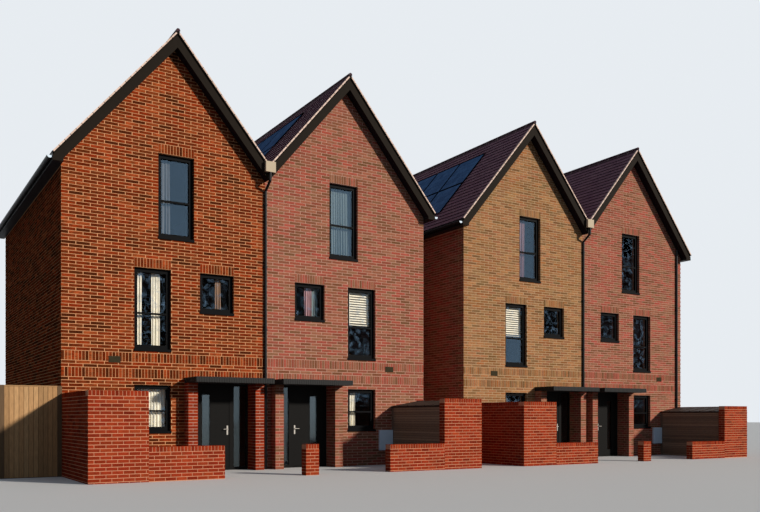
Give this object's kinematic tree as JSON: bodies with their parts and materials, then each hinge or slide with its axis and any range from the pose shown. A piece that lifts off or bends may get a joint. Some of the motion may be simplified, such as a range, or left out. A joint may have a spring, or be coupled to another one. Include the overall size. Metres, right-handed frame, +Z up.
{
  "type": "terraced house row",
  "caption": "Row of gabled brick town houses in mirrored pairs, with hinged front doors, canopies, garden walls and bin stores.",
  "frame": {"origin": "middle of the row's length and depth, on the ground", "axes": "+X along the row to the right as seen from the street, +Y from the street into the houses, +Z up"},
  "size_m": [22.932, 11.8, 10.6],
  "materials": {
    "brick_orange": "facing brick, orange red with pale mortar",
    "brick_pink": "facing brick, pinkish red with pale mortar",
    "brick_buff": "facing brick, buff with pale mortar",
    "brick_red": "smooth red brick with pale mortar",
    "party_block": "fair-faced blockwork",
    "concrete": "floated screed",
    "floor_timber": "boarded timber floor",
    "roof_tile": "dark plum clay tile",
    "verge_tile": "pale pink tile edge",
    "barge_paint": "dark bronze grey, satin",
    "black_metal": "black, satin",
    "cream_box": "cream paint, satin",
    "window_frame": "anthracite, satin",
    "window_glass": "clear double glazing",
    "entrance_paint": "dark grey, satin",
    "door_glass": "obscured double glazing",
    "handle_metal": "satin stainless steel",
    "canopy_metal": "dark grey folded metal, satin",
    "store_slats": "brown stained slats",
    "store_roof": "grey sheet",
    "air_brick": "dark moulded grille",
    "meter_box": "white moulded box",
    "solar_glass": "dark blue cells behind glass in black frames",
    "fence_timber": "pale softwood boards"
  },
  "bodies": {
    "root": {"air_bricks": "air_brick", "bargeboards": "barge_paint", "canopies": "canopy_metal", "door_frames": "entrance_paint", "downpipes": "black_metal", "eaves_boards": "black_metal", "entrance_piers": "brick_pink", "entrance_wall_1": "brick_orange", "entrance_wall_2": "brick_pink", "entrance_wall_3": "brick_buff", "entrance_wall_4": "brick_pink", "front_wall_1": "brick_orange", "front_wall_2": "brick_pink", "front_wall_3": "brick_buff", "front_wall_4": "brick_pink", "ground_floors": "concrete", "gutters": "black_metal", "meter_boxes": "meter_box", "party_walls": "party_block", "rear_wall_1": "brick_orange", "rear_wall_2": "brick_pink", "rear_wall_3": "brick_buff", "rear_wall_4": "brick_pink", "ridge_tiles": "roof_tile", "roof_1": "roof_tile", "roof_2": "roof_tile", "roof_3": "roof_tile", "roof_4": "roof_tile", "side_fence": "fence_timber", "side_wall_1": "brick_orange", "side_wall_2": "brick_pink", "side_wall_3": "brick_pink", "side_wall_4": "brick_pink", "solar_panels": "solar_glass", "store_panels": "store_slats", "store_roofs": "store_roof", "street_walls_a": "brick_red", "street_walls_b": "brick_red", "upper_floors": "floor_timber", "valley_boxes": "cream_box", "verge_tiles": "verge_tile", "window_frames": "window_frame", "window_glass": "window_glass"},
    "door_1": {"door_leaf_1": "entrance_paint", "door_glass_1": "door_glass", "door_handle_1": "handle_metal"},
    "door_2": {"door_leaf_2": "entrance_paint", "door_glass_2": "door_glass", "door_handle_2": "handle_metal"},
    "door_3": {"door_leaf_3": "entrance_paint", "door_glass_3": "door_glass", "door_handle_3": "handle_metal"},
    "door_4": {"door_leaf_4": "entrance_paint", "door_glass_4": "door_glass", "door_handle_4": "handle_metal"}
  },
  "joints": [
    {"name": "door_1_hinge", "type": "hinge", "parent": "root", "child": "door_1", "pos_m": [-7.023, -2.969, 0.26], "axis": [0, 0, 1], "range_deg": [0, 90]},
    {"name": "door_2_hinge", "type": "hinge", "parent": "root", "child": "door_2", "pos_m": [-3.429, -2.969, 0.26], "axis": [0, 0, -1], "range_deg": [0, 90]},
    {"name": "door_3_hinge", "type": "hinge", "parent": "root", "child": "door_3", "pos_m": [4.367, -2.969, 0.26], "axis": [0, 0, 1], "range_deg": [0, 90]},
    {"name": "door_4_hinge", "type": "hinge", "parent": "root", "child": "door_4", "pos_m": [7.961, -2.969, 0.26], "axis": [0, 0, -1], "range_deg": [0, 90]}
  ]
}
